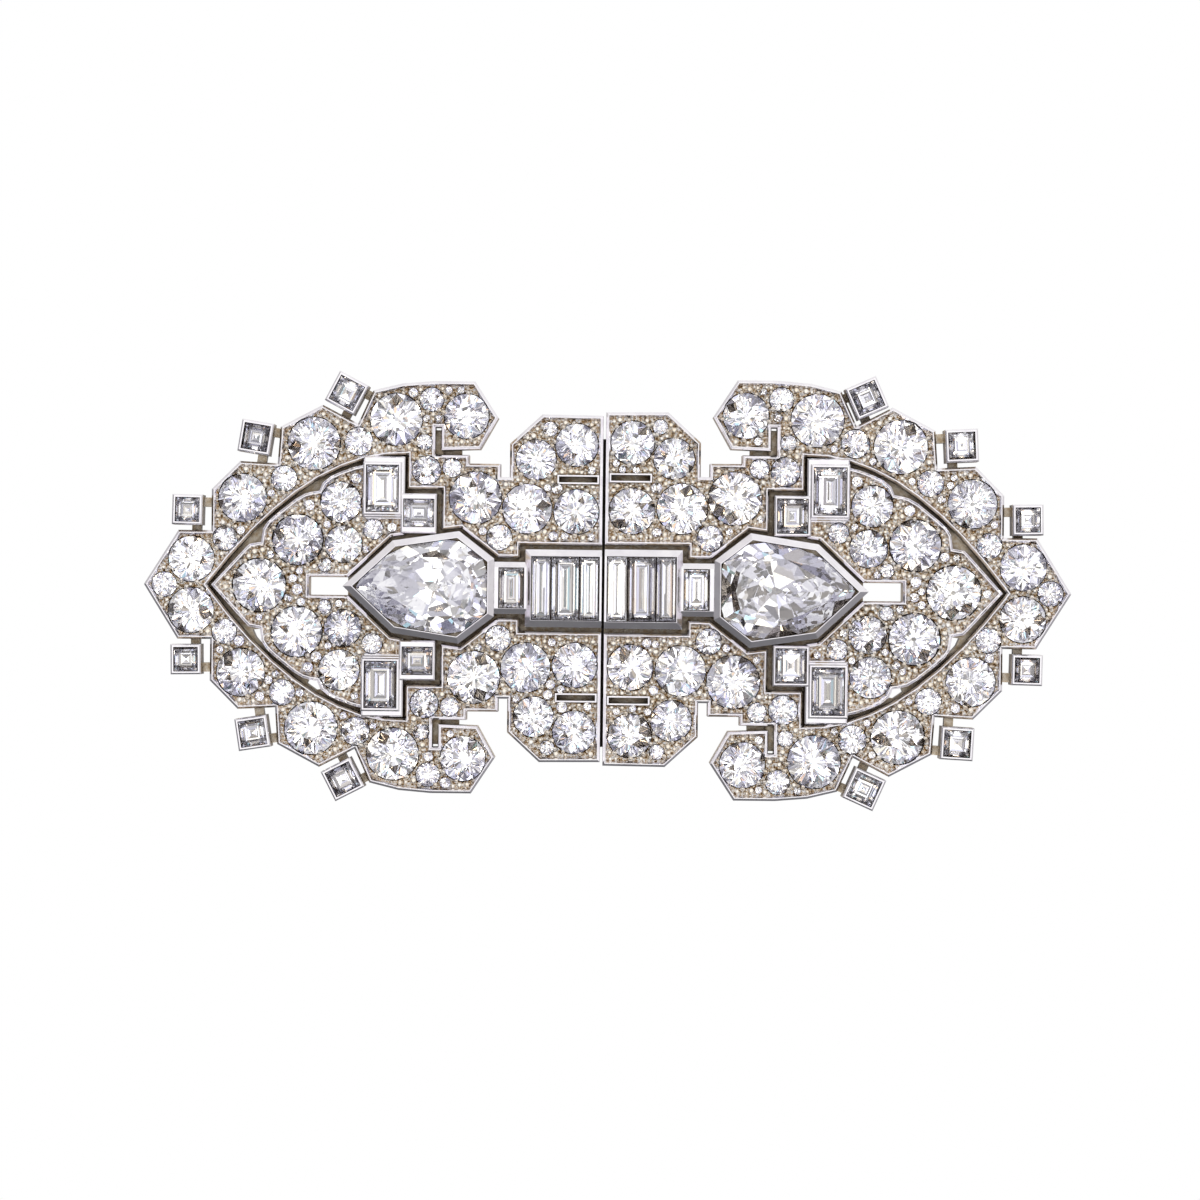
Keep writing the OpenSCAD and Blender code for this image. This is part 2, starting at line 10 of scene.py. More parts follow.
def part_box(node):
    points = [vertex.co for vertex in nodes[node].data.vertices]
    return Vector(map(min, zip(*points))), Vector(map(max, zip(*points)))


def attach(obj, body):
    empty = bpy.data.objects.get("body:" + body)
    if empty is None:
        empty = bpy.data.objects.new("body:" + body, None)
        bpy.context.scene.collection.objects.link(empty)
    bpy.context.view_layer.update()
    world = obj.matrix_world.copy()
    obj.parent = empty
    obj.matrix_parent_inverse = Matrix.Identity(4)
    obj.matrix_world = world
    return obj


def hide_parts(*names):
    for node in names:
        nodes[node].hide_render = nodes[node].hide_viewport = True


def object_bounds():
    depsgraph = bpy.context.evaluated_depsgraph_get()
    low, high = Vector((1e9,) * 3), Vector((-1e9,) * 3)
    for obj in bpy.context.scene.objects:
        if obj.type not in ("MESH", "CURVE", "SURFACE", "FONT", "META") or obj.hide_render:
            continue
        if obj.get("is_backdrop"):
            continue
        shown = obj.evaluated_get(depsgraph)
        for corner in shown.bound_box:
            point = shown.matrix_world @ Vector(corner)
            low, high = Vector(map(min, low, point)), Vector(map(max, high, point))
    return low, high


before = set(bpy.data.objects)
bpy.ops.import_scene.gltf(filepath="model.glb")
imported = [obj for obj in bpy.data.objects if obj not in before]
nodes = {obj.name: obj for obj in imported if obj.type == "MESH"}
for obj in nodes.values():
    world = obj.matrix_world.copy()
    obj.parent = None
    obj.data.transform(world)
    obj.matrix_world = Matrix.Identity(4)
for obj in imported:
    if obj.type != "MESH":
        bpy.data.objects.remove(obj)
mm = 0.001

clips = ("left", "right")

# Each piece's settings stand beside its code. Their lengths are in mm unless a comment says otherwise


# A colour written as sRGB hex, as linear values
def linearColour(code, alpha=1.0):
    parts = [int(code[i:i + 2], 16) / 255 for i in (1, 3, 5)]
    return tuple(c / 12.92 if c <= 0.04045 else ((c + 0.055) / 1.055) ** 2.4 for c in parts) + (alpha,)


# Adds a shader node. Settings are inputs by name or number, the node's own properties, or a ramp's stops, which are
# places with a hex code or a linear colour
def addNode(tree, kind, settings=None, links=None):
    node = tree.nodes.new(kind)
    for name, value in (settings or {}).items():
        if name == "stops":
            elements = node.color_ramp.elements
            elements.remove(elements[-1])
            for i, (place, colour) in enumerate(value):
                element = elements.new(place) if i else elements[0]
                element.position = place
                element.color = linearColour(colour) if isinstance(colour, str) else colour
        elif name == "interpolation":
            node.color_ramp.interpolation = value
        elif isinstance(name, str) and hasattr(node, name) and name not in node.inputs:
            setattr(node, name, value)
        else:
            node.inputs[name].default_value = value
    for name, socket in (links or {}).items():
        tree.links.new(socket, node.inputs[name])
    return node


def grey(value):
    return (value, value, value, 1.0)


def newMaterial(name):
    material = bpy.data.materials.new(name)
    material.use_nodes = True
    material.node_tree.nodes.clear()
    return material, material.node_tree


def finishMaterial(tree, shader):
    addNode(tree, "ShaderNodeOutputMaterial", links={"Surface": shader.outputs[0]})


# The object's own coordinates, so that one unit of pattern is 1/perMm mm
def scaledPosition(tree, perMm):
    place = addNode(tree, "ShaderNodeTexCoord")
    return addNode(tree, "ShaderNodeVectorMath", {"operation": "SCALE", "Scale": perMm / mm},
                   {0: place.outputs["Object"]}).outputs[0]


# Platinum and white metal, by how each surface was worked. Its light and dark tones are mixed by faint wear. Scratch is
# the strength of the polishing lines and edge the width over which wear rounds an edge. The corner colour, with its
# reach, is painted shade laid in the corners
metalFinishes = {
    # Buffed rims, bezels and lands: near mirrors, so they show the room as clean white and grey bands
    "polished_platinum": {"light": "#f8f6f9", "dark": "#eeebf0", "roughness": 0.12, "scratch": 0.1},
    # Cast and filed fittings at the back: duller and greyer, with painted shade deep into their corners
    "white_metal_fitting": {"light": "#cbc7c4", "dark": "#aaa5a1", "roughness": 0.3, "scratch": 0.4,
                            "cornerShade": ("#17120f", 2.0)},
    # Beads and claws, rubbed round: bright dots with painted brown shade at their feet
    "burnished_bead": {"light": "#fffbf3", "dark": "#f5e9d6", "roughness": 0.13, "scratch": 0.1, "edge": 0.02,
                       "cornerShade": ("#1e1107", 0.34)},
    # Outer sides, filed and rubbed smooth: a soft sheen, with painted shade in their corners
    "satin_platinum_side": {"light": "#efedec", "dark": "#dddad8", "roughness": 0.24, "scratch": 0.4,
                            "cornerShade": ("#4a4038", 0.8)},
    # Walls of the seats, cut with a bright graver: they throw light back into the stones
    "bright_cut_seat": {"light": "#ffffff", "dark": "#f4f4f6", "roughness": 0.12, "scratch": 0.1, "edge": 0.02},
    # Walls of the seam, never polished: black, as painted shade
    "shade_black_seam_wall": {"light": "#1c1815", "dark": "#0e0c0a", "roughness": 0.45, "scratch": 0.4, "edge": 0.02},
}
metalGrain = {
    "cloud": 0.9,               # patches of wear to the mm
    "lines": (1.5, 14.0, 9.0),  # polishing lines to the mm, drawn out along the brooch and coarser than real ones
    "lineDepth": 0.01,
}


def platinumMaterial(name, light, dark, roughness, scratch, edge=0.05, cornerShade=None):
    material, tree = newMaterial(name)
    where = scaledPosition(tree, 1.0)
    cloud = addNode(tree, "ShaderNodeTexNoise", {"Scale": metalGrain["cloud"], "Detail": 3.0}, {"Vector": where})
    tone = addNode(tree, "ShaderNodeValToRGB", {"stops": ((0.35, dark), (0.65, light))},
                   {"Fac": cloud.outputs["Fac"]})
    stretched = addNode(tree, "ShaderNodeMapping", {"Scale": metalGrain["lines"]}, {"Vector": where})
    lines = addNode(tree, "ShaderNodeTexNoise", {"Scale": 1.0, "Detail": 4.0}, {"Vector": stretched.outputs[0]})
    gloss = addNode(tree, "ShaderNodeMapRange", {"To Min": roughness * 0.7, "To Max": roughness * 1.3},
                    {"Value": lines.outputs["Fac"]})
    worn = addNode(tree, "ShaderNodeBevel", {"samples": 4, "Radius": edge * mm})
    bump = addNode(tree, "ShaderNodeBump", {"Strength": scratch, "Distance": metalGrain["lineDepth"] * mm},
                   {"Height": lines.outputs["Fac"], "Normal": worn.outputs[0]})
    # Painted shade in the corners, where the finish gives a colour for it
    colour = cornerShadedTone(tree, tone, cornerShade[0], cornerShade[1]) if cornerShade else tone.outputs[0]
    metal = addNode(tree, "ShaderNodeBsdfPrincipled", {"Metallic": 1.0},
                    {"Base Color": colour, "Roughness": gloss.outputs[0], "Normal": bump.outputs[0]})
    finishMaterial(tree, metal)
    return material


# Painted shade: the tone darkened in the corners, fully where less than the first part of the sky is open, not at all
# where more than the second is
def cornerShadedTone(tree, tone, cornerShade, reach, open=(0.22, 0.66)):
    corners = addNode(tree, "ShaderNodeAmbientOcclusion", {"samples": 6, "Distance": reach * mm})
    depth = addNode(tree, "ShaderNodeMapRange", {"From Min": open[0], "From Max": open[1]},
                    {"Value": corners.outputs["AO"]})
    return addNode(tree, "ShaderNodeMix", {"data_type": "RGBA", 6: linearColour(cornerShade)},
                   {0: depth.outputs[0], 7: tone.outputs[0]}).outputs[2]


# Metal between the stones, pricked all over: warm grey with brown in the pits, and painted brown shade at the feet of
# the beads and walls
fieldGrain = {
    "pits": 5.5,            # pricks to the mm
    "grain": 4.0,           # patches of tone to the mm
    "depth": 0.12,
    "cornerShade": "#4a321c",
    "cornerShadeReach": 0.35,
}


def fieldMaterial():
    material, tree = newMaterial("bead_set_platinum")
    where = scaledPosition(tree, 1.0)
    pits = addNode(tree, "ShaderNodeTexVoronoi", {"Scale": fieldGrain["pits"]}, {"Vector": where})
    grain = addNode(tree, "ShaderNodeTexNoise", {"Scale": fieldGrain["grain"], "Detail": 5.0, "Roughness": 0.75},
                    {"Vector": where})
    tone = addNode(tree, "ShaderNodeValToRGB",
                   {"stops": ((0.4, "#442a12"), (0.46, "#bd9764"), (0.51, "#f6e8d0"), (0.57, "#ffffff"))},
                   {"Fac": grain.outputs["Fac"]})
    height = addNode(tree, "ShaderNodeMath", {"operation": "ADD"},
                     {0: pits.outputs["Distance"], 1: grain.outputs["Fac"]})
    bump = addNode(tree, "ShaderNodeBump", {"Strength": 1.0, "Distance": fieldGrain["depth"] * mm},
                   {"Height": height.outputs[0]})
    colour = cornerShadedTone(tree, tone, fieldGrain["cornerShade"], fieldGrain["cornerShadeReach"], (0.28, 0.72))
    metal = addNode(tree, "ShaderNodeBsdfPrincipled", {"Metallic": 1.0, "Roughness": 0.24},
                    {"Base Color": colour, "Normal": bump.outputs[0]})
    finishMaterial(tree, metal)
    return material


# Sawn walls and the gallery floor: dull and warm, with painted brown-black shade in the corners
sawnGrain = {
    "strokes": 3.0,         # saw marks to the mm
    "depth": 0.05,
    "cornerShade": "#1e1209",
    "cornerShadeReach": 1.1,
}


def grooveMaterial():
    material, tree = newMaterial("sawn_platinum")
    where = scaledPosition(tree, 1.0)
    saw = addNode(tree, "ShaderNodeTexNoise", {"Scale": sawnGrain["strokes"], "Detail": 4.0}, {"Vector": where})
    tone = addNode(tree, "ShaderNodeValToRGB",
                   {"stops": ((0.32, "#cdb594"), (0.5, "#e8d9c2"), (0.68, "#f6ecdd"))}, {"Fac": saw.outputs["Fac"]})
    bump = addNode(tree, "ShaderNodeBump", {"Strength": 0.6, "Distance": sawnGrain["depth"] * mm},
                   {"Height": saw.outputs["Fac"]})
    colour = cornerShadedTone(tree, tone, sawnGrain["cornerShade"], sawnGrain["cornerShadeReach"], (0.2, 0.6))
    metal = addNode(tree, "ShaderNodeBsdfPrincipled", {"Metallic": 1.0, "Roughness": 0.36},
                    {"Base Color": colour, "Normal": bump.outputs[0]})
    finishMaterial(tree, metal)
    return material


# Tones of the facets, each from its place in the draw up to the next. Their greys are painted shade in place of the
# stones' dark reflections
facetTones = {
    "old": ((0.0, "#7d766f"), (0.06, "#bfbec7"), (0.2, "#e0dfe6"), (0.4, "#f4f4f6"), (0.5, "#fafafb"),
            (0.62, "#ffffff")),
    "step": ((0.0, "#8b8580"), (0.08, "#b0aeb1"), (0.24, "#cccbce"), (0.4, "#dad9dc"), (0.5, "#ececee"),
             (0.7, "#ffffff")),
}
diamondLook = {
    "ior": 2.417,
    "tableUp": 0.985,       # a normal steeper than this is a table's, and one over crownUp the crown's
    "crownUp": 0.1,
    "spentAfter": 7.5,      # reflections inside a stone after which it gives out a soft painted glow
    "glow": "#f4f3f7",
}


# Clear diamond: strong refraction. Each facet dims the light by its own tone, a painted shade that makes it stand out
# from its neighbours.
# After many reflections inside, a stone gives out a soft painted glow in place of the light that would go on
def diamondMaterial(name, tones):
    material, tree = newMaterial(name)
    chance = addNode(tree, "ShaderNodeAttribute", {"attribute_name": "facet_chance"})
    tone = addNode(tree, "ShaderNodeValToRGB", {"interpolation": "CONSTANT", "stops": tones},
                   {"Fac": chance.outputs["Fac"]})
    glass = addNode(tree, "ShaderNodeBsdfGlass", {"Roughness": 0.0, "IOR": diamondLook["ior"]},
                    {"Color": tone.outputs[0]})
    path = addNode(tree, "ShaderNodeLightPath")
    spent = addNode(tree, "ShaderNodeMath", {"operation": "GREATER_THAN", 1: diamondLook["spentAfter"]},
                    {0: path.outputs["Ray Depth"]})
    paintedGlow = addNode(tree, "ShaderNodeEmission", {"Color": linearColour(diamondLook["glow"]), "Strength": 1.0})
    stone = addNode(tree, "ShaderNodeMixShader",
                    links={0: spent.outputs[0], 1: glass.outputs[0], 2: paintedGlow.outputs[0]})
    finishMaterial(tree, stone)
    return material


def addPiece(name, mesh, material):
    piece = bpy.data.objects.new(name, mesh)
    bpy.context.scene.collection.objects.link(piece)
    mesh.materials.append(material)
    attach(piece, "root")
    return piece


# Draws the place of each facet in the tones: any on the crown, none under the lowest below, and a clear table
def chanceFacets(bm, rng, lowest=0.4):
    bmesh.ops.recalc_face_normals(bm, faces=bm.faces)
    chance = bm.faces.layers.float.new("facet_chance")
    for face in bm.faces:
        if face.normal.z > diamondLook["tableUp"]:
            face[chance] = 1.0
        elif face.normal.z > diamondLook["crownUp"]:
            face[chance] = rng.random()
        else:
            face[chance] = rng.uniform(lowest, 1.0)


def meshFrom(name, bm):
    bmesh.ops.recalc_face_normals(bm, faces=bm.faces)
    mesh = bpy.data.meshes.new(name)
    bm.to_mesh(mesh)
    bm.free()
    return mesh


# Where the stones are, read from the solids


# Points of each separate solid of a node
def looseParts(obj):
    bm = bmesh.new()
    bm.from_mesh(obj.data)
    bmesh.ops.remove_doubles(bm, verts=bm.verts, dist=0.001 * mm)
    seen, parts = set(), []
    for start in bm.verts:
        if start.index in seen:
            continue
        part, stack = [], [start]
        seen.add(start.index)
        while stack:
            v = stack.pop()
            part.append(v.co.copy())
            for e in v.link_edges:
                other = e.other_vert(v)
                if other.index not in seen:
                    seen.add(other.index)
                    stack.append(other)
        parts.append(part)
    bm.free()
    return parts


# Centre of the girdle and radius of a round stone's solid, whose crown is that part of its radius high
def roundStone(points, crownPart=0.34):
    low = Vector([min(p[i] for p in points) for i in range(3)])
    high = Vector([max(p[i] for p in points) for i in range(3)])
    radius = (high.x - low.x) / 2
    return Vector(((low.x + high.x) / 2, (low.y + high.y) / 2, high.z - crownPart * radius)), radius


# Corners of the outline seen from above, counter-clockwise
def hull(points):
    pts = sorted({(round(p.x, 8), round(p.y, 8)) for p in points})

    def chain(sequence):
        out = []
        for p in sequence:
            while len(out) > 1 and ((out[-1][0] - out[-2][0]) * (p[1] - out[-2][1])
                                    - (out[-1][1] - out[-2][1]) * (p[0] - out[-2][0])) <= 1e-11:
                out.pop()
            out.append(p)
        return out[:-1]

    return [Vector(p) for p in chain(pts) + chain(pts[::-1])]


# Outline, girdle height, top and bottom of a stone that isn't round
def fancyStone(obj):
    points = [v.co for v in obj.data.vertices]
    outline = hull(points)
    middle = sum(outline, Vector((0, 0))) / len(outline)
    corner = outline[0]
    girdle = max(p.z for p in points if (p.xy - corner).length < 0.01 * mm)
    return [c - middle for c in outline], Vector((middle.x, middle.y, girdle)), \
        max(p.z for p in points) - girdle, girdle - min(p.z for p in points)


def insetOutline(outline, distance):
    out = []
    for i, p in enumerate(outline):
        before, after = outline[i - 1], outline[(i + 1) % len(outline)]
        a, b = (p - before).normalized(), (after - p).normalized()
        na, nb = Vector((-a.y, a.x)), Vector((-b.y, b.x))
        out.append(p + (na + nb) * (distance / (1 + na.dot(nb))))
    return out


# Cut stones


def addRing(bm, points, z, place):
    return [bm.verts.new(place @ Vector((p.x, p.y, z))) for p in points]


# A brilliant cut: table, stars, kites and halves above, halves and mains below. Cut holds its heights in metres
def addBrilliant(bm, corners, mids, cut, place, rng):
    n = len(corners)
    starHeight = cut["crown"] * cut["starHeight"]

    def uneven(point, part):
        slip = corners[0].length * cut["uneven"]
        return point * part + Vector((rng.uniform(-slip, slip), rng.uniform(-slip, slip)))

    table = addRing(bm, [uneven(c, cut["table"]) for c in corners], cut["crown"], place)
    star = addRing(bm, [uneven(m, cut["star"]) for m in mids], starHeight, place)
    both = [p for pair in zip(corners, mids) for p in pair]
    top = addRing(bm, both, 0.0, place)
    bottom = addRing(bm, both, -cut["girdle"], place)
    lower = addRing(bm, [uneven(m, cut["lower"]) for m in mids], -cut["lowerDepth"], place)
    culet = addRing(bm, [c * cut["culet"] for c in corners], -cut["pavilion"], place)
    bm.faces.new(table)
    bm.faces.new(culet[::-1])
    for i in range(n):
        j, h = (i + 1) % n, i - 1
        bm.faces.new((table[i], star[i], table[j]))
        bm.faces.new((table[i], star[h], top[2 * i], star[i]))
        bm.faces.new((star[i], top[2 * i], top[2 * i + 1]))
        bm.faces.new((star[i], top[2 * i + 1], top[2 * j]))
        for k in (2 * i, 2 * i + 1):
            m = (k + 1) % (2 * n)
            bm.faces.new((top[k], bottom[k], bottom[m], top[m]))
        bm.faces.new((bottom[2 * i], lower[i], bottom[2 * i + 1]))
        bm.faces.new((bottom[2 * i + 1], lower[i], bottom[2 * j]))
        bm.faces.new((bottom[2 * i], lower[h], culet[i]))
        bm.faces.new((bottom[2 * i], culet[i], lower[i]))
        bm.faces.new((lower[i], culet[i], culet[j]))


roundCut = {
    "table": (0.38, 0.48),      # part of the radius, from and to
    "crown": (0.33, 0.4),
    "star": 0.52,               # how far out the stars reach, from the table's edge to the girdle
    "lower": (0.46, 0.62),      # how far in the lower halves reach
    "hollow": 0.985,            # how deep the ends of the lower halves lie, against the mains
    "pavilion": 0.84,
    "culet": 0.09,
    "girdle": 0.05,
    "bigRoom": 0.99,            # size of the largest stones against their solids
    "uneven": 0.045,            # how far a facet's corner may slip, as a part of the radius
    "tilt": 3.5,                # degrees
}


# One old-cut round stone, with its own proportions, turn and slight tilt
def addRoundStone(bm, centre, radius, rng):
    n = 8
    half = math.pi / n
    table = rng.uniform(*roundCut["table"])
    crown = rng.uniform(*roundCut["crown"])
    lower = rng.uniform(*roundCut["lower"])
    star = table + (1 - table) * roundCut["star"]
    corners = [Vector((math.cos(2 * half * i), math.sin(2 * half * i))) * radius for i in range(n)]
    mids = [Vector((math.cos(2 * half * i + half), math.sin(2 * half * i + half))) * radius for i in range(n)]
    pavilion = roundCut["pavilion"] * radius
    cut = {
        "table": table, "star": star, "crown": crown * radius,
        "starHeight": (1 - star * math.cos(half)) / (1 - table),
        "girdle": roundCut["girdle"] * mm, "lower": lower,
        "lowerDepth": pavilion * (1 - lower * math.cos(half)) * roundCut["hollow"],
        "pavilion": pavilion, "culet": roundCut["culet"], "uneven": roundCut["uneven"],
    }
    tilt = math.radians(roundCut["tilt"])
    place = (Matrix.Translation(centre)
             @ Matrix.Rotation(rng.uniform(-tilt, tilt), 4, "X") @ Matrix.Rotation(rng.uniform(-tilt, tilt), 4, "Y")
             @ Matrix.Rotation(rng.uniform(0, math.pi), 4, "Z"))
    addBrilliant(bm, corners, mids, cut, place, rng)


# Cuts away all that lies past a plane from a convex stone, and closes it with a facet there
def grindFacet(faces, point, normal):
    kept, rim = [], []
    for face in faces:
        rest = []
        for p, q in zip(face, face[1:] + face[:1]):
            dp, dq = (p - point).dot(normal), (q - point).dot(normal)
            if dp <= 0:
                rest.append(p)
            if (dp <= 0) != (dq <= 0):
                rest.append(p.lerp(q, dp / (dp - dq)))
                rim.append(rest[-1])
        if len(rest) > 2:
            kept.append(rest)
    if len(rim) > 2:
        middle = sum(rim, Vector()) / len(rim)
        across = normal.orthogonal().normalized()
        along = normal.cross(across)
        rim.sort(key=lambda p: math.atan2((p - middle).dot(along), (p - middle).dot(across)))
        kept.append(rim)
    return kept


shieldCut = {
    "girdle": 0.05,
    "wander": 3.5,                  # how unevenly the old cutter set the facets, in steps of tilt and turn
    "tiltStep": 0.4,                # degrees
    "turnStep": 2.2,
    # Tiers from the girdle inwards: slope in degrees, and how far in from the edge the tier starts, in mm
    "crownTiers": ((41.0, 0.0), (33.0, 0.3), (20.0, 0.85)),
    "steeper": 6.0,                 # degrees: how much steeper the tier below the girdle is than the long facets
    "lowerInset": 0.5,              # where the lower tier starts to turn, from the edge
    "spread": 0.3,                  # how far an edge's two side facets turn away from it, less on a short edge
    "spreadOver": 16.0,
    "past": 0.4,                    # how far outside the girdle the long facets would reach it
    "culet": 0.24,                  # height of the cut-off tip
    "culetLean": (0.03, 0.02, -1),
    "weld": 0.002,
    "seeds": (11, 5),               # of the facets' places and of their tones
    "lowestTone": 0.62,             # in the draw of the facets below the girdle
}


# The shield-shaped stone, ground from its outline: tiers of facets along the edges and at the corners above, and below
# a tier at the girdle and long facets that run to the culet
def addShieldStone(bm, outline, centre, crown, pavilion, rng):
    girdle, steeper, past = shieldCut["girdle"] * mm, shieldCut["steeper"], shieldCut["past"] * mm
    n = len(outline)
    low = [Vector((p.x, p.y, -pavilion)) for p in outline]
    high = [Vector((p.x, p.y, crown)) for p in outline]
    stone = [low[::-1], high] + [[low[i], low[(i + 1) % n], high[(i + 1) % n], high[i]] for i in range(n)]
    depth = pavilion - girdle
    culet = Vector((0, 0, -pavilion))

    def grind(point, towards, slope, up, wander=1.0):
        nonlocal stone
        tiltStep, turnStep = shieldCut["tiltStep"], shieldCut["turnStep"]
        angle = math.radians(slope + rng.uniform(-tiltStep, tiltStep) * wander * shieldCut["wander"])
        turn = math.radians(rng.uniform(-turnStep, turnStep) * wander * shieldCut["wander"])
        across = Matrix.Rotation(turn, 2) @ towards
        stone = grindFacet(stone, point, Vector((across.x * math.sin(angle), across.y * math.sin(angle),
                                                 up * math.cos(angle))))

    # The first tier runs true to the outline, the ones further in turn a little
    def grindCrown(point, towards, first=0):
        height, before = 0.0, None
        for k, (slope, inset) in enumerate(shieldCut["crownTiers"]):
            if before:
                height += (inset - before[1]) * mm * math.tan(math.radians(before[0]))
            before = (slope, inset)
            spot = point - towards * (inset * mm)
            if k >= first:
                grind(Vector((spot.x, spot.y, height * 0.98)), towards, slope, 1, min(k, 1))

    for i in range(n):
        a, b, before = outline[i], outline[(i + 1) % n], outline[i - 1]
        out = Vector(((b - a).y, -(b - a).x)).normalized()
        outBefore = Vector(((a - before).y, -(a - before).x)).normalized()
        along = (b - a).normalized()
        spread = min(shieldCut["spread"], (b - a).length / (shieldCut["spreadOver"] * mm))
        middle = (a + b) / 2
        grind(Vector((middle.x, middle.y, 0)), out, shieldCut["crownTiers"][0][0], 1, 0)
        grindCrown(a, (out + outBefore).normalized())
        steepest = math.degrees(math.atan(depth / a.dot(out))) + steeper
        grind(Vector((middle.x, middle.y, -girdle)), out, steepest, -1, 0)
        grind(culet, a.normalized(), math.degrees(math.atan(depth / (a.length + past))), -1)
        for side in (-1, 1):
            turned = (out + along * (side * spread)).normalized()
            spot = middle + (b - a) * (side * 0.25)
            grindCrown(spot, turned, 1)
            inner = spot - turned * (shieldCut["lowerInset"] * mm)
            lower = -girdle - shieldCut["lowerInset"] * mm * math.tan(math.radians(steepest))
            grind(Vector((inner.x, inner.y, lower)), turned, steepest - steeper / 2, -1)
            grind(culet, turned, math.degrees(math.atan(depth / (spot.dot(turned) + past))), -1)
    tip = Vector((0, 0, shieldCut["culet"] * mm - pavilion))
    stone = grindFacet(stone, tip, Vector(shieldCut["culetLean"]).normalized())
    for face in stone:
        bm.faces.new([bm.verts.new(centre + p) for p in face])
    bmesh.ops.remove_doubles(bm, verts=bm.verts, dist=shieldCut["weld"] * mm)
    bmesh.ops.dissolve_degenerate(bm, edges=bm.edges, dist=shieldCut["weld"] * mm)


stepCut = {
    "girdle": 0.05,
    # Steps from the girdle inwards: part of the half width, and slope in degrees
    "crown": ((0.13, 44.0), (0.15, 34.0), (0.14, 24.0)),
    "pavilion": ((0.24, 52.0), (0.34, 44.0), (0.36, 38.0)),
    "wander": 1.5,
}


# A step-cut stone: a table and parallel steps above, parallel steps to a keel below
def addStepStone(bm, outline, centre, pavilion, rng):
    place = Matrix.Translation(centre)
    n = len(outline)
    half = min((outline[i] - outline[i - 1]).length for i in range(n)) / 2
    rings = [(outline, -stepCut["girdle"] * mm)]
    inward, z = 0.0, -stepCut["girdle"] * mm
    for part, slope in stepCut["pavilion"]:
        inward += part * half
        slope += rng.uniform(-stepCut["wander"], stepCut["wander"])
        z = max(-pavilion, z - part * half * math.tan(math.radians(slope)))
        rings.insert(0, (insetOutline(outline, inward), z))
    rings.append((outline, 0.0))
    inward, z = 0.0, 0.0
    for part, slope in stepCut["crown"]:
        inward += part * half
        z += part * half * math.tan(math.radians(slope))
        rings.append((insetOutline(outline, inward), z))
    made = [addRing(bm, points, z, place) for points, z in rings]
    bm.faces.new(made[0][::-1])
    bm.faces.new(made[-1])
    for a, b in zip(made, made[1:]):
        for i in range(n):
            j = (i + 1) % n
            bm.faces.new((a[i], a[j], b[j], b[i]))


# Materials

metals = {name: platinumMaterial(name, **finish) for name, finish in metalFinishes.items()}
field = fieldMaterial()
groove = grooveMaterial()
diamond = diamondMaterial("old_cut_diamond", facetTones["old"])
stepDiamond = diamondMaterial("step_cut_diamond", facetTones["step"])
print("materials made")

# Mounts

low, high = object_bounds()


# How the mount's faces are told apart, by their place in mm and by how far their normal points up or along the brooch
mountFaces = {
    "field": 4.76,          # height of the plates' stone fields, from which the beads and grains rise
    "arrow": 4.96,          # the same on the arrowhead panels
    "lands": (4.92, 5.0, 5.2, 5.35, 5.5, 5.6, 5.8, 5.9, 6.1, 6.5),     # flat tops of rims, bezels and collets
    "near": 0.02,           # how exactly a height is met
    "flat": 0.98,           # normals: a flat top's, a wall's, a steep face's and a seam wall's
    "wall": 0.1,
    "steep": 0.3,
    "along": 0.9,
    "slopesFrom": 4.55,     # lowest slope that was polished
    "bezelsFrom": 5.2,      # walls above are the polished bezels', outside of their seats and clear of the seam
    "seamClear": 0.4,
    "seatTop": 4.45,        # deep walls of the seats, bright cut
    "seatRoom": 0.09,       # how far a seat reaches past its stone
    "seamReach": 0.25,      # walls nearer to the seam's middle are its own
    "openReach": 6.0,       # an outer side looks out over nothing this far
}


def meshTree(obj):
    return BVHTree.FromPolygons([v.co.copy() for v in obj.data.vertices],
                                [tuple(f.vertices) for f in obj.data.polygons])


# True where nothing of the mount stands before the face
def looksOut(tree, face):
    start = face.center + face.normal * (0.01 * mm)
    return tree.ray_cast(start, face.normal, mountFaces["openReach"] * mm)[0] is None


# Lands, slopes and bezels are polished, the fields pricked, the seats bright cut and the other walls left sawn
def paintMount(obj, seats):
    limits = mountFaces
    mesh = obj.data
    tree = meshTree(obj)
    mesh.materials.clear()
    # In the order of the numbers below
    for material in (metals["polished_platinum"], field, groove, metals["bright_cut_seat"],
                     metals["shade_black_seam_wall"], metals["satin_platinum_side"]):
        mesh.materials.append(material)
    for face in mesh.polygons:
        x, z = abs(face.center.x) / mm, face.center.z / mm
        up = face.normal.z
        onField = up > limits["flat"] and any(abs(z - limits[place]) < limits["near"] for place in ("field", "arrow"))
        onLand = up > limits["flat"] and any(abs(z - h) < limits["near"] for h in limits["lands"])
        onSlope = limits["wall"] < up < limits["flat"] and z > limits["slopesFrom"]
        onBezel = abs(up) < limits["wall"] and z > limits["bezelsFrom"] and x > limits["seamClear"]
        inSeat = any(within(face.center) for within in seats)
        # The seam's own walls, painted black as shade
        if x < limits["seamReach"] and abs(face.normal.x) > limits["along"]:
            face.material_index = 4
        elif onField:
            face.material_index = 1
        elif onLand or onSlope or onBezel and not inSeat:
            face.material_index = 0
        elif inSeat and abs(up) < limits["steep"] and z < limits["seatTop"]:
            face.material_index = 3
        elif up < limits["steep"] and looksOut(tree, face):
            face.material_index = 5
        else:
            face.material_index = 2


def roundSpot(centre, reach):
    return lambda p: (p.x - centre.x) ** 2 + (p.y - centre.y) ** 2 < reach ** 2


def outlineSpot(outline, centre, reach):
    wider = insetOutline(outline, -reach)
    return lambda p: all((b - a).cross(p.xy - centre.xy - a) > 0 for a, b in zip(wider, wider[1:] + wider[:1]))


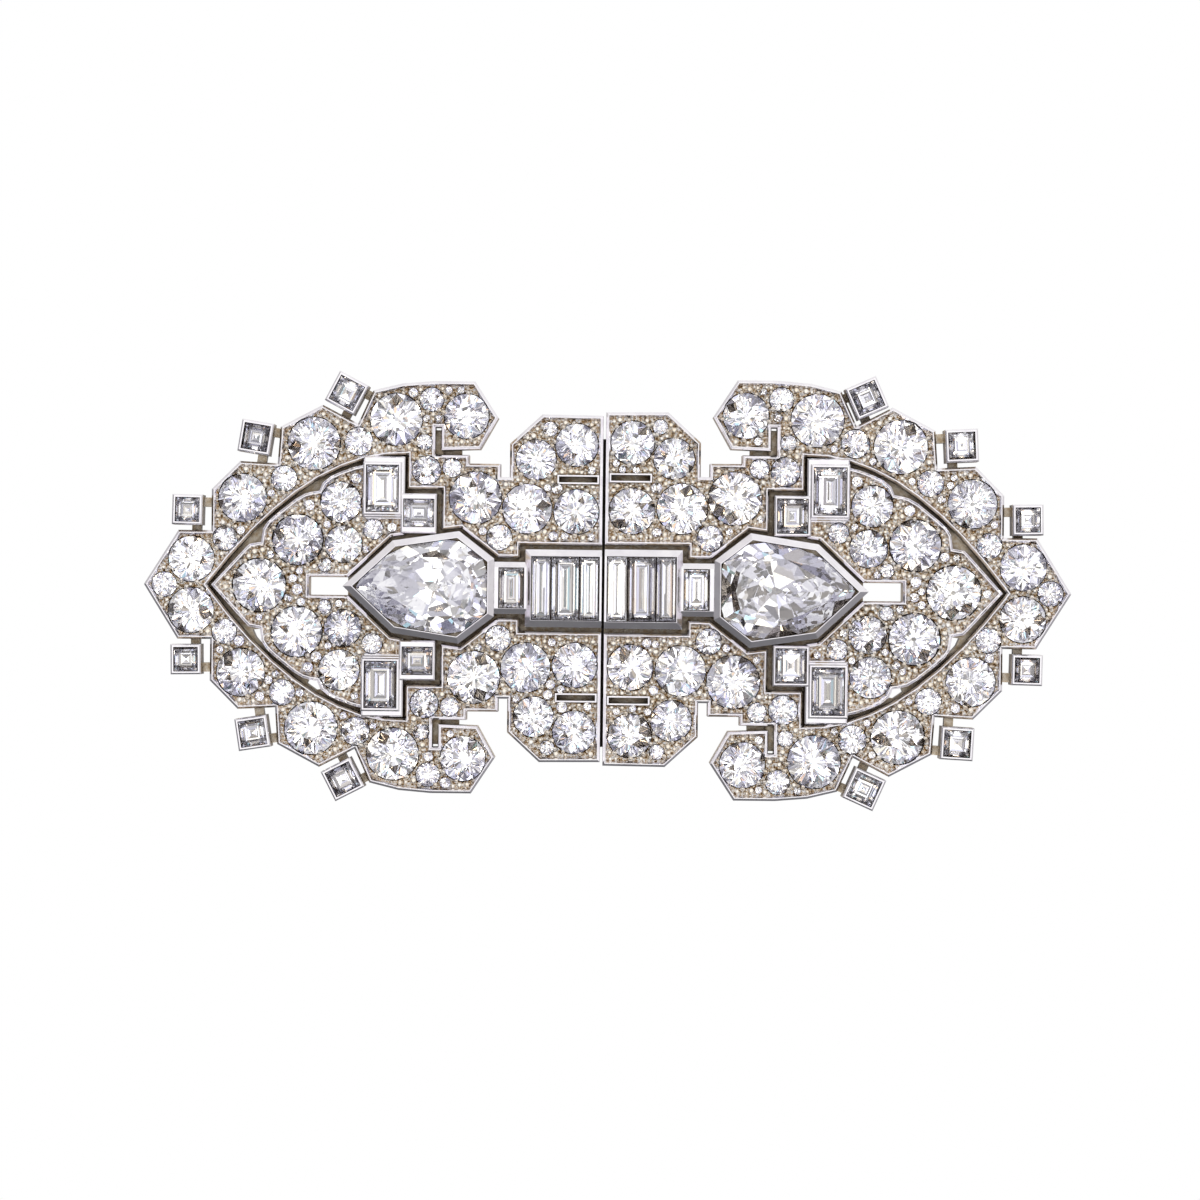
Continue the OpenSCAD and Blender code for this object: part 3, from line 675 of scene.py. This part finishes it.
# Tests that tell whether a point lies in plan within one of a clip's stones
def seatSpots(clip):
    room = mountFaces["seatRoom"] * mm
    spots = []
    for part in looseParts(nodes[clip + "_round_diamonds"]):
        centre, radius = roundStone(part)
        spots.append(roundSpot(centre, radius + room))
    for name in sorted(nodes):
        if name.startswith(clip) and (name.endswith("arrow_diamond") or name.endswith("side_diamond")):
            centre, radius = roundStone([v.co for v in nodes[name].data.vertices])
            spots.append(roundSpot(centre, radius + room))
        elif name.startswith(clip) and any(w in name for w in ("square_", "baguette", "inner_step", "shield")):
            outline, centre = fancyStone(nodes[name])[:2]
            spots.append(outlineSpot(outline, centre, room))
    return spots


for clip in clips:
    paintMount(nodes[clip + "_mount"], seatSpots(clip))
for name in [clip + "_clip_fitting" for clip in clips] + ["brooch_frame"]:
    nodes[name].data.materials.clear()
    nodes[name].data.materials.append(metals["white_metal_fitting"])
print("mounts painted")

# Stones

# Centres and radii of the round stones of each clip
stoneSpots = {clip: [] for clip in clips}


# A cut stone in place of the plain solid of its node
def addCutStone(name, bm, material, node):
    piece = addPiece(name, meshFrom(name, bm), material)
    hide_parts(node)


for clip in clips:
    rng = random.Random(clip + "rounds")
    bm = bmesh.new()
    for part in looseParts(nodes[clip + "_round_diamonds"]):
        centre, radius = roundStone(part)
        addRoundStone(bm, centre, radius, rng)
        stoneSpots[clip].append((centre, radius))
    chanceFacets(bm, rng)
    addCutStone(clip + "_old_cut_diamonds", bm, diamond, clip + "_round_diamonds")
    bigNodes = [clip + "_arrow_diamond", clip + "_upper_side_diamond", clip + "_lower_side_diamond"]
    for name in bigNodes:
        bm = bmesh.new()
        centre, radius = roundStone([v.co for v in nodes[name].data.vertices])
        addRoundStone(bm, centre, radius * roundCut["bigRoom"], rng)
        stoneSpots[clip].append((centre, radius))
        chanceFacets(bm, rng)
        addCutStone(name + "_cut", bm, diamond, name)
    bm = bmesh.new()
    cutSeed, toneSeed = shieldCut["seeds"]
    addShieldStone(bm, *fancyStone(nodes[clip + "_shield_diamond"]), random.Random(cutSeed))
    chanceFacets(bm, random.Random(toneSeed), shieldCut["lowestTone"])
    addCutStone(clip + "_shield_cut", bm, diamond, clip + "_shield_diamond")
    for name in sorted(nodes):
        if not name.startswith(clip) or not any(w in name for w in ("square_", "baguette", "inner_step")):
            continue
        bm = bmesh.new()
        outline, centre, _, pavilion = fancyStone(nodes[name])
        addStepStone(bm, outline, centre, pavilion, rng)
        chanceFacets(bm, rng)
        addCutStone(name + "_cut", bm, stepDiamond, name)
print("stones cut")

# Between the stones: claws over their edges, tiny stones where there is room, and beads in what is left

grainSettings = {
    "meleeRadii": (0.42, 0.36, 0.31, 0.27),
    "beadRadii": (0.27, 0.24, 0.2, 0.17, 0.14),
    "tries": 26000,         # for a bead of the usual radius, more for smaller ones, an eighth for a tiny stone
    "usualRadius": 0.2,
    "gap": 0.0,
    "meleeLift": 0.62,      # part of the radius that a tiny stone's girdle lies above the field
    "beadSink": 0.02,
    "beadFlat": (0.42, 0.7),
    "cell": 0.5,
    "seed": 7,
}
claws = {
    "radius": (0.16, 0.23),
    "every": 1.15,          # along the stone's edge
    "slip": 0.2,            # part of that step by which one may stand off its place
    "middle": 0.35,         # how far its middle and its foot lie outside the stone's edge, as parts of its radius
    "foot": 1.2,
    "footSize": 0.6,
    "lift": 0.05,
}
largestStone = 2.1      # radius
aboveAll = 10.0         # a height over the whole brooch


# A dome of a few faces, flat as a part of its radius
def addBead(bm, centre, radius, flat):
    sides = 8
    rows = [(1.0, 0.0), (0.86, 0.45), (0.5, 0.82)]
    rings = [[bm.verts.new(centre + Vector((math.cos(2 * math.pi * (i + 0.5 * k) / sides) * radius * r,
                                            math.sin(2 * math.pi * (i + 0.5 * k) / sides) * radius * r,
                                            radius * h * flat))) for i in range(sides)]
             for k, (r, h) in enumerate(rows)]
    tip = bm.verts.new(centre + Vector((0, 0, radius * flat)))
    for a, b in zip(rings, rings[1:]):
        for i in range(sides):
            j = (i + 1) % sides
            bm.faces.new((a[i], a[j], b[i]))
            bm.faces.new((a[j], b[j], b[i]))
    for i in range(sides):
        bm.faces.new((rings[-1][i], rings[-1][(i + 1) % sides], tip))


# A tiny single-cut stone
def addMelee(bm, centre, radius, rng):
    turn = rng.uniform(0, 1)
    rings = [[bm.verts.new(centre + Vector((math.cos(math.pi / 4 * (i + turn)) * radius * r,
                                            math.sin(math.pi / 4 * (i + turn)) * radius * r, radius * h)))
              for i in range(8)] for r, h in ((0.1, -0.7), (1.0, -0.04), (1.0, 0.04), (0.55, 0.36))]
    bm.faces.new(rings[0][::-1])
    bm.faces.new(rings[-1])
    for a, b in zip(rings, rings[1:]):
        for i in range(8):
            j = (i + 1) % 8
            bm.faces.new((a[i], a[j], b[j], b[i]))


# Circles placed so far, in a grid of cells, to keep the next one clear
class Crowd:
    def __init__(self, cell):
        self.cell = cell
        self.cells = {}

    def clear(self, x, y, radius, gap):
        reach = int((radius + largestStone * mm) / self.cell) + 1
        ix, iy = int(x // self.cell), int(y // self.cell)
        for a in range(ix - reach, ix + reach + 1):
            for b in range(iy - reach, iy + reach + 1):
                for px, py, pr in self.cells.get((a, b), ()):
                    if (px - x) ** 2 + (py - y) ** 2 < (pr + radius + gap) ** 2:
                        return False
        return True

    def add(self, x, y, radius):
        self.cells.setdefault((int(x // self.cell), int(y // self.cell)), []).append((x, y, radius))


# Height of the stone field under a point, or None where there is no field
def fieldHeightAt(tree, x, y):
    place, normal = tree.ray_cast(Vector((x, y, aboveAll * mm)), Vector((0, 0, -1)))[:2]
    if place is None or normal.z < mountFaces["flat"]:
        return None
    for height in (mountFaces["field"], mountFaces["arrow"]):
        if abs(place.z / mm - height) < mountFaces["near"]:
            return place.z
    return None


# The same, where the field reaches all round a circle
def roomFor(tree, x, y, radius):
    height = fieldHeightAt(tree, x, y)
    if height is None:
        return None
    for k in range(6):
        a = math.pi / 3 * k
        if fieldHeightAt(tree, x + radius * math.cos(a), y + radius * math.sin(a)) is None:
            return None
    return height


for clip in clips:
    rng = random.Random(grainSettings["seed"] + len(clip))
    tree = meshTree(nodes[clip + "_mount"])
    crowd = Crowd(grainSettings["cell"] * mm)
    for centre, radius in stoneSpots[clip]:
        crowd.add(centre.x, centre.y, radius)
    boxLow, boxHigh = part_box(clip + "_mount")
    beads, melee = bmesh.new(), bmesh.new()
    beadCount = meleeCount = 0
    # Claws: larger beads pushed over each stone's edge
    for centre, radius in stoneSpots[clip]:
        count = max(4, round(2 * math.pi * radius / (claws["every"] * mm)))
        start = rng.uniform(0, 2 * math.pi)
        for k in range(count):
            a = start + 2 * math.pi * (k + rng.uniform(-claws["slip"], claws["slip"])) / count
            r = rng.uniform(*claws["radius"]) * mm
            x = centre.x + (radius + claws["middle"] * r) * math.cos(a)
            y = centre.y + (radius + claws["middle"] * r) * math.sin(a)
            footX = centre.x + (radius + claws["foot"] * r) * math.cos(a)
            footY = centre.y + (radius + claws["foot"] * r) * math.sin(a)
            height = fieldHeightAt(tree, footX, footY)
            if height is None:
                continue
            addBead(beads, Vector((x, y, height + claws["lift"] * mm)), r, 1.0)
            crowd.add(footX, footY, r * claws["footSize"])
            beadCount += 1
    for r in grainSettings["meleeRadii"] + grainSettings["beadRadii"]:
        radius = r * mm
        isMelee = r in grainSettings["meleeRadii"]
        tries = grainSettings["tries"] // (8 if isMelee else 1)
        if not isMelee:
            tries = int(tries * (grainSettings["usualRadius"] / r) ** 1.2)
        for _ in range(tries):
            x = rng.uniform(boxLow.x, boxHigh.x)
            y = rng.uniform(boxLow.y, boxHigh.y)
            if not crowd.clear(x, y, radius, grainSettings["gap"] * mm):
                continue
            height = roomFor(tree, x, y, radius)
            if height is None:
                continue
            crowd.add(x, y, radius)
            if isMelee:
                addMelee(melee, Vector((x, y, height + grainSettings["meleeLift"] * radius)), radius, rng)
                meleeCount += 1
            else:
                low = height - grainSettings["beadSink"] * mm
                addBead(beads, Vector((x, y, low)), radius, rng.uniform(*grainSettings["beadFlat"]))
                beadCount += 1
    addPiece(clip + "_beads", meshFrom(clip + "_beads", beads), metals["burnished_bead"])
    chanceFacets(melee, rng)
    addPiece(clip + "_melee", meshFrom(clip + "_melee", melee), diamond)
    print(clip, "beads", beadCount, "melee", meleeCount)

# White table top, seen only by the camera: the light comes from the room above

tableTop = {"halfWidth": 2000.0, "below": 0.02}

floorMaterial, tree = newMaterial("white_table_top")
glow = addNode(tree, "ShaderNodeEmission", {"Color": grey(1.0), "Strength": 1.0})
finishMaterial(tree, glow)
bm = bmesh.new()
bmesh.ops.create_grid(bm, x_segments=1, y_segments=1, size=tableTop["halfWidth"] * mm)
floor = bpy.data.objects.new("table_top", meshFrom("table_top", bm))
floor.data.materials.append(floorMaterial)
floor.location.z = -tableTop["below"] * mm
bpy.context.scene.collection.objects.link(floor)
floor.visible_glossy = False
floor.visible_diffuse = False
floor.visible_transmission = False
floor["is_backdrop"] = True

# The room. The metal sees a plain dome, light past the top edge and grey towards the viewer's lap. The light that
# comes back out of the stones is from many small bright panels, some of them tinted, and a few warm lamps.

room = {
    # Tones of the dome from the viewer's lap to past the top edge, and of its middle overhead
    "dome": ((0.0, "#727274"), (0.25, "#8c8b8f"), (0.5, "#b6b4b6"), (0.72, "#e8e6e6"), (1.0, "#fbfafa")),
    "overhead": (1.16, 1.15, 1.15, 1.0),
    "overheadFrom": (0.72, 0.92),       # heights between which the dome turns into its middle
    "lean": 0.35,                       # how far the light side lies towards the right
    "panelsAcross": 6.5,
    "panels": ((0.0, "#2a2622"), (0.06, "#8f8b88"), (0.16, "#cfced3"), (0.36, grey(1.35)), (0.68, grey(2.5))),
    "tints": ((0.0, "#dfe0f3"), (0.25, grey(1.0)), (0.7, "#faf4e6"), (0.93, "#c4ecf4"), (0.965, "#ffdcba")),
    "lamps": ((0.35, 0.42, 0.84), (-0.5, 0.2, 0.84), (0.1, -0.55, 0.83), (-0.25, 0.75, 0.6), (0.7, -0.1, 0.7)),
    "lampSize": 0.075,      # radians
    "lampPower": 15.0,
    "lampColour": "#fff0d8",
}
world = bpy.data.worlds.new("studio")
bpy.context.scene.world = world
world.use_nodes = True
tree = world.node_tree
tree.nodes.clear()
direction = addNode(tree, "ShaderNodeTexCoord").outputs["Generated"]
axes = addNode(tree, "ShaderNodeSeparateXYZ", links={0: direction})
sideways = addNode(tree, "ShaderNodeMath", {"operation": "MULTIPLY", 1: room["lean"]}, {0: axes.outputs["X"]})
tilted = addNode(tree, "ShaderNodeMath", {"operation": "ADD"}, {0: axes.outputs["Y"], 1: sideways.outputs[0]})
towardsTop = addNode(tree, "ShaderNodeMapRange", {"From Min": -1.0, "From Max": 1.0}, {"Value": tilted.outputs[0]})
edgeTone = addNode(tree, "ShaderNodeValToRGB", {"stops": room["dome"]}, {"Fac": towardsTop.outputs[0]})
low, high = room["overheadFrom"]
overhead = addNode(tree, "ShaderNodeMapRange", {"From Min": low, "From Max": high}, {"Value": axes.outputs["Z"]})
dome = addNode(tree, "ShaderNodeMix", {"data_type": "RGBA", 7: room["overhead"]},
               {0: overhead.outputs[0], 6: edgeTone.outputs[0]})
panels = addNode(tree, "ShaderNodeTexVoronoi", {"Scale": room["panelsAcross"]}, {"Vector": direction})
panelParts = addNode(tree, "ShaderNodeSeparateColor", links={0: panels.outputs["Color"]})
panelTone = addNode(tree, "ShaderNodeValToRGB", {"interpolation": "CONSTANT", "stops": room["panels"]},
                    {"Fac": panelParts.outputs[0]})
panelTint = addNode(tree, "ShaderNodeValToRGB", {"interpolation": "CONSTANT", "stops": room["tints"]},
                    {"Fac": panelParts.outputs[1]})
tinted = addNode(tree, "ShaderNodeMix", {"data_type": "RGBA", "blend_type": "MULTIPLY", 0: 1.0},
                 {6: panelTone.outputs[0], 7: panelTint.outputs[0]})
lit = tinted.outputs[2]
lampLight = tuple(room["lampPower"] * c for c in linearColour(room["lampColour"])[:3]) + (1.0,)
for lamp in room["lamps"]:
    near = addNode(tree, "ShaderNodeVectorMath", {"operation": "DOT_PRODUCT", 1: Vector(lamp).normalized()},
                   {0: direction})
    onLamp = addNode(tree, "ShaderNodeMath", {"operation": "GREATER_THAN", 1: math.cos(room["lampSize"])},
                     {0: near.outputs["Value"]})
    lit = addNode(tree, "ShaderNodeMix", {"data_type": "RGBA", 7: lampLight},
                  {0: onLamp.outputs[0], 6: lit}).outputs[2]
path = addNode(tree, "ShaderNodeLightPath")
sky = addNode(tree, "ShaderNodeMix", {"data_type": "RGBA"},
              {0: path.outputs["Is Transmission Ray"], 6: dome.outputs[2], 7: lit})
back = addNode(tree, "ShaderNodeBackground", {"Strength": 1.0}, {"Color": sky.outputs[2]})
addNode(tree, "ShaderNodeOutputWorld", links={"Surface": back.outputs[0]})

# Camera

cameraSettings = {
    "frameWidth": 90.5,     # width of the view at the height of the rims
    "lens": 100.0,          # focal length
    "sensor": 36.0,
    "sideways": -0.217,     # the view's middle against the seam's middle
    "upward": -0.832,
    "turn": 0.65,           # degrees: how far the brooch lies from level
    "rimHeight": 5.0,
}

cameraData = bpy.data.cameras.new("camera")
cameraData.lens = cameraSettings["lens"]
cameraData.sensor_width = cameraSettings["sensor"]
camera = bpy.data.objects.new("camera", cameraData)
distance = cameraSettings["frameWidth"] * cameraSettings["lens"] / cameraSettings["sensor"]
camera.location = (cameraSettings["sideways"] * mm, cameraSettings["upward"] * mm,
                   (distance + cameraSettings["rimHeight"]) * mm)
camera.rotation_euler = (0, 0, math.radians(cameraSettings["turn"]))
cameraData.clip_start = 0.01
cameraData.clip_end = 20
bpy.context.scene.collection.objects.link(camera)
bpy.context.scene.camera = camera
bpy.context.scene.view_settings.view_transform = "Standard"

# Light goes round many times inside a cut stone before it comes out
bpy.context.scene.cycles.max_bounces = 32
bpy.context.scene.cycles.glossy_bounces = 24
bpy.context.scene.cycles.transmission_bounces = 24

low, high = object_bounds()
print("scene ready")
